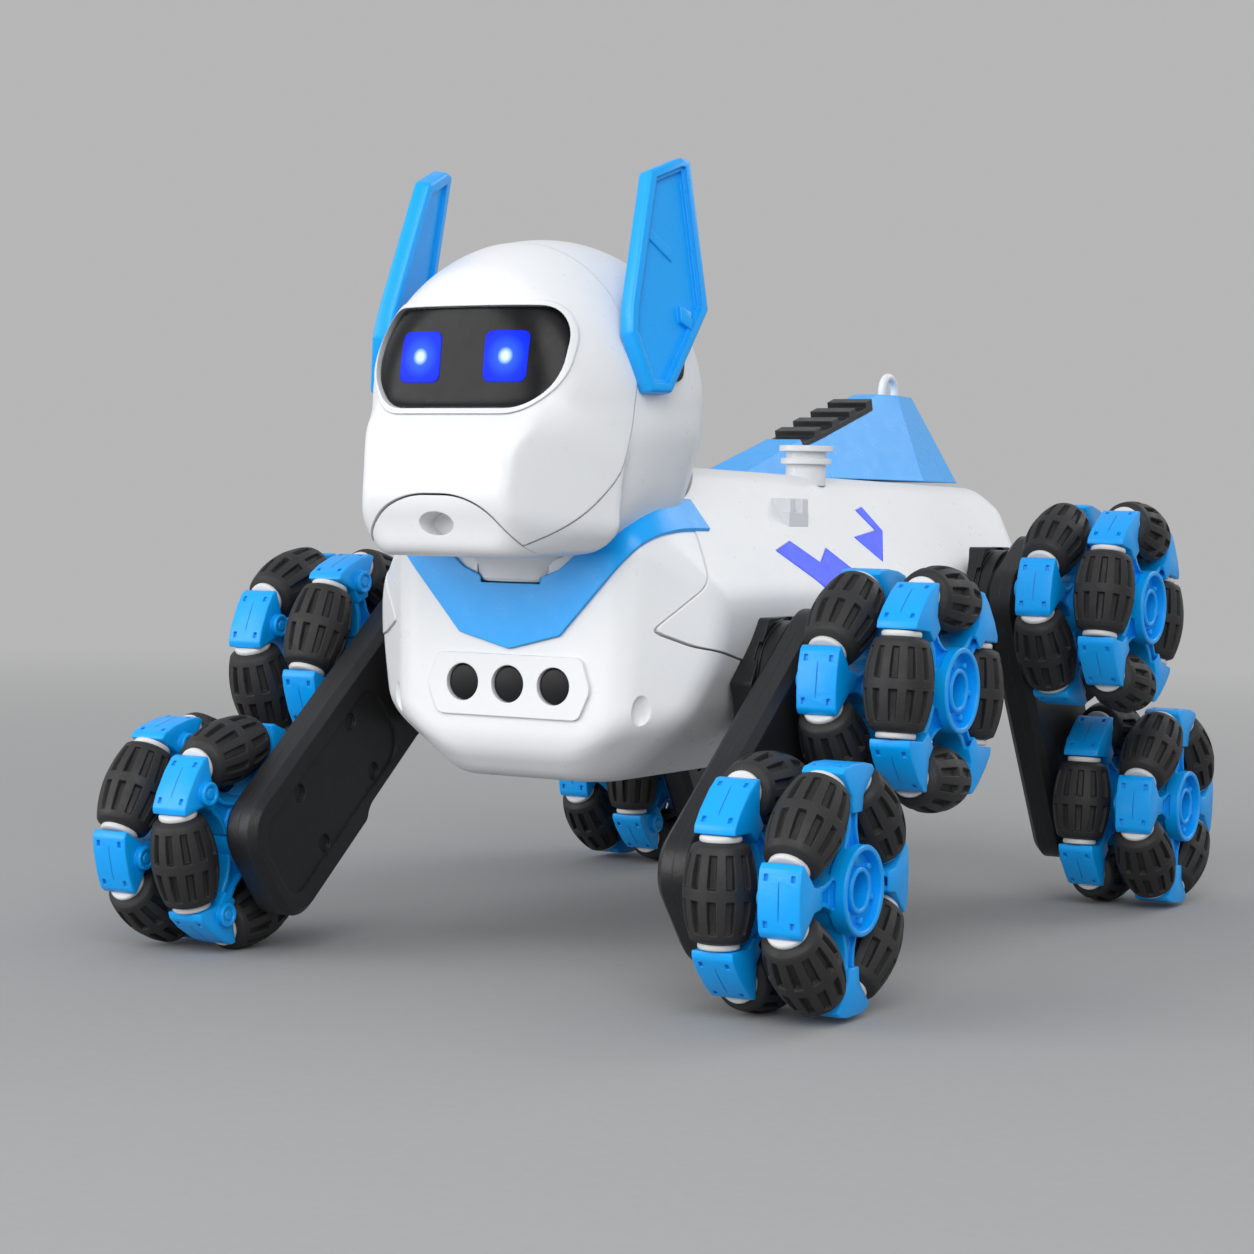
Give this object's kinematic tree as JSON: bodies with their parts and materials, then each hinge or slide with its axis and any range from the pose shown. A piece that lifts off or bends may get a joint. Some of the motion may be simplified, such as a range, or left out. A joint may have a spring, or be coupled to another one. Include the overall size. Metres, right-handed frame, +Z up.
{
  "type": "omni-wheel robot dog",
  "caption": "Robot dog on hinged legs with paired omni wheels, each with two rows of barrel rollers, a turning head with a dark visor, upright ears and a wedge-shaped tail cover.",
  "frame": {"origin": "on the floor, under the middle of the overall length and width", "axes": "+Z up, the dog faces -Y, its left side is +X"},
  "size_m": [0.2218, 0.3324, 0.2169],
  "materials": {
    "white_shell": "satin white moulded plastic",
    "blue_trim": "satin azure moulded plastic",
    "blue_hub": "satin azure moulded plastic",
    "roller_rubber": "black ribbed rubber with white end washers",
    "black_plastic": "satin black moulded plastic",
    "visor_gloss": "piano black",
    "eye_glow": "lit blue window",
    "light_lens": "translucent deep blue",
    "window_black": "dark window",
    "board": "green circuit board",
    "battery": "shrink-wrapped cells",
    "speaker": "paper cone in a moulded basket",
    "motor_steel": "plated can",
    "screw_steel": "zinc plated",
    "switch_white": "satin white moulded plastic",
    "belt_rubber": "black toothed belt"
  },
  "bodies": {
    "body": {"body_upper_shell": "white_shell", "body_lower_shell": "white_shell", "chest_collar": "blue_trim", "chest_windows": "window_black", "side_lights": "light_lens", "hip_plates": "black_plastic", "tail_cover": "blue_trim", "tail_vent": "black_plastic", "tail_loop": "white_shell", "battery_pack": "battery", "battery_door": "white_shell", "circuit_board": "board", "speaker": "speaker", "hip_motors": "motor_steel", "shell_screws": "screw_steel"},
    "head": {"head_face_shell": "white_shell", "head_rear_shell": "white_shell", "visor": "visor_gloss", "eye_lights": "eye_glow", "ear_left": "blue_trim", "ear_right": "blue_trim", "ear_mounts": "black_plastic", "neck_post": "white_shell"},
    "filler_cap": {"filler_cap": "white_shell"},
    "back_switch": {"back_switch": "switch_white"},
    "front_left_leg": {"front_left_leg_inner_shell": "black_plastic", "front_left_leg_outer_shell": "black_plastic", "front_left_drive_belt": "belt_rubber"},
    "front_left_lower_wheel": {"front_left_lower_hub": "blue_hub"},
    "front_left_upper_wheel": {"front_left_upper_hub": "blue_hub", "front_left_upper_rollers": "roller_rubber"},
    "front_right_leg": {"front_right_leg_inner_shell": "black_plastic", "front_right_leg_outer_shell": "black_plastic", "front_right_drive_belt": "belt_rubber"},
    "front_right_lower_wheel": {"front_right_lower_hub": "blue_hub", "front_right_lower_rollers": "roller_rubber"},
    "front_right_upper_wheel": {"front_right_upper_hub": "blue_hub", "front_right_upper_rollers": "roller_rubber"},
    "rear_left_leg": {"rear_left_leg_inner_shell": "black_plastic", "rear_left_leg_outer_shell": "black_plastic", "rear_left_drive_belt": "belt_rubber"},
    "rear_left_lower_wheel": {"rear_left_lower_hub": "blue_hub", "rear_left_lower_rollers": "roller_rubber"},
    "rear_left_upper_wheel": {"rear_left_upper_hub": "blue_hub", "rear_left_upper_rollers": "roller_rubber"},
    "rear_right_leg": {"rear_right_leg_inner_shell": "black_plastic", "rear_right_leg_outer_shell": "black_plastic", "rear_right_drive_belt": "belt_rubber"},
    "rear_right_lower_wheel": {"rear_right_lower_hub": "blue_hub", "rear_right_lower_rollers": "roller_rubber"},
    "rear_right_upper_wheel": {"rear_right_upper_hub": "blue_hub", "rear_right_upper_rollers": "roller_rubber"},
    "front_left_lower_roller_1": {"front_left_lower_roller_1": "roller_rubber"},
    "front_left_lower_roller_2": {"front_left_lower_roller_2": "roller_rubber"},
    "front_left_lower_roller_3": {"front_left_lower_roller_3": "roller_rubber"},
    "front_left_lower_roller_4": {"front_left_lower_roller_4": "roller_rubber"},
    "front_left_lower_roller_5": {"front_left_lower_roller_5": "roller_rubber"},
    "front_left_lower_roller_6": {"front_left_lower_roller_6": "roller_rubber"},
    "front_left_lower_roller_7": {"front_left_lower_roller_7": "roller_rubber"},
    "front_left_lower_roller_8": {"front_left_lower_roller_8": "roller_rubber"}
  },
  "joints": [
    {"name": "head_turn", "type": "hinge", "parent": "body", "child": "head", "pos_m": [0, -0.0832, 0.1], "axis": [0, 0, 1], "range_deg": [-20, 20]},
    {"name": "cap_turn", "type": "hinge", "parent": "body", "child": "filler_cap", "pos_m": [0.025, 0.0238, 0.14], "axis": [0, 0, 1], "range_deg": [0, 90]},
    {"name": "switch_slide", "type": "slide", "parent": "body", "child": "back_switch", "axis": [0, 1, 0], "range_m": [-0.0025, 0.0025]},
    {"name": "front_left_hip", "type": "hinge", "parent": "body", "child": "front_left_leg", "pos_m": [0.058, -0.0523, 0.0785], "axis": [1, 0, 0], "range_deg": [-60, 60]},
    {"name": "front_left_lower_spin", "type": "hinge", "parent": "front_left_leg", "child": "front_left_lower_wheel", "pos_m": [0.092, -0.1101, 0.0325], "axis": [1, 0, 0], "continuous": true},
    {"name": "front_left_upper_spin", "type": "hinge", "parent": "front_left_leg", "child": "front_left_upper_wheel", "pos_m": [0.092, -0.0523, 0.0785], "axis": [1, 0, 0], "continuous": true},
    {"name": "front_right_hip", "type": "hinge", "parent": "body", "child": "front_right_leg", "pos_m": [-0.058, -0.0523, 0.0785], "axis": [1, 0, 0], "range_deg": [-60, 60]},
    {"name": "front_right_lower_spin", "type": "hinge", "parent": "front_right_leg", "child": "front_right_lower_wheel", "pos_m": [-0.092, -0.1101, 0.0325], "axis": [1, 0, 0], "continuous": true},
    {"name": "front_right_upper_spin", "type": "hinge", "parent": "front_right_leg", "child": "front_right_upper_wheel", "pos_m": [-0.092, -0.0523, 0.0785], "axis": [1, 0, 0], "continuous": true},
    {"name": "rear_left_hip", "type": "hinge", "parent": "body", "child": "rear_left_leg", "pos_m": [0.058, 0.0951, 0.0969], "axis": [1, 0, 0], "range_deg": [-60, 60]},
    {"name": "rear_left_lower_spin", "type": "hinge", "parent": "rear_left_leg", "child": "rear_left_lower_wheel", "pos_m": [0.092, 0.1337, 0.0325], "axis": [1, 0, 0], "continuous": true},
    {"name": "rear_left_upper_spin", "type": "hinge", "parent": "rear_left_leg", "child": "rear_left_upper_wheel", "pos_m": [0.092, 0.0951, 0.0969], "axis": [1, 0, 0], "continuous": true},
    {"name": "rear_right_hip", "type": "hinge", "parent": "body", "child": "rear_right_leg", "pos_m": [-0.058, 0.0951, 0.0969], "axis": [1, 0, 0], "range_deg": [-60, 60]},
    {"name": "rear_right_lower_spin", "type": "hinge", "parent": "rear_right_leg", "child": "rear_right_lower_wheel", "pos_m": [-0.092, 0.1337, 0.0325], "axis": [1, 0, 0], "continuous": true},
    {"name": "rear_right_upper_spin", "type": "hinge", "parent": "rear_right_leg", "child": "rear_right_upper_wheel", "pos_m": [-0.092, 0.0951, 0.0969], "axis": [1, 0, 0], "continuous": true},
    {"name": "roller_1_spin", "type": "hinge", "parent": "front_left_lower_wheel", "child": "front_left_lower_roller_1", "pos_m": [0.1018, -0.12665, 0.04905], "axis": [0, -0.7071, -0.7071], "continuous": true},
    {"name": "roller_2_spin", "type": "hinge", "parent": "front_left_lower_wheel", "child": "front_left_lower_roller_2", "pos_m": [0.1018, -0.09355, 0.04905], "axis": [0, -0.7071, 0.7071], "continuous": true},
    {"name": "roller_3_spin", "type": "hinge", "parent": "front_left_lower_wheel", "child": "front_left_lower_roller_3", "pos_m": [0.1018, -0.09355, 0.01595], "axis": [0, 0.7071, 0.7071], "continuous": true},
    {"name": "roller_4_spin", "type": "hinge", "parent": "front_left_lower_wheel", "child": "front_left_lower_roller_4", "pos_m": [0.1018, -0.12665, 0.01595], "axis": [0, 0.7071, -0.7071], "continuous": true},
    {"name": "roller_5_spin", "type": "hinge", "parent": "front_left_lower_wheel", "child": "front_left_lower_roller_5", "pos_m": [0.0822, -0.1101, 0.0559], "axis": [0, -1, 0], "continuous": true},
    {"name": "roller_6_spin", "type": "hinge", "parent": "front_left_lower_wheel", "child": "front_left_lower_roller_6", "pos_m": [0.0822, -0.0867, 0.0325], "axis": [0, 0, 1], "continuous": true},
    {"name": "roller_7_spin", "type": "hinge", "parent": "front_left_lower_wheel", "child": "front_left_lower_roller_7", "pos_m": [0.0822, -0.1101, 0.0091], "axis": [0, 1, 0], "continuous": true},
    {"name": "roller_8_spin", "type": "hinge", "parent": "front_left_lower_wheel", "child": "front_left_lower_roller_8", "pos_m": [0.0822, -0.1335, 0.0325], "axis": [0, 0, -1], "continuous": true}
  ],
  "couplings": [
    {"joint": "front_left_upper_spin", "follows": "front_left_lower_spin", "ratio": 1},
    {"joint": "front_right_upper_spin", "follows": "front_right_lower_spin", "ratio": 1},
    {"joint": "rear_left_upper_spin", "follows": "rear_left_lower_spin", "ratio": 1},
    {"joint": "rear_right_upper_spin", "follows": "rear_right_lower_spin", "ratio": 1}
  ]
}
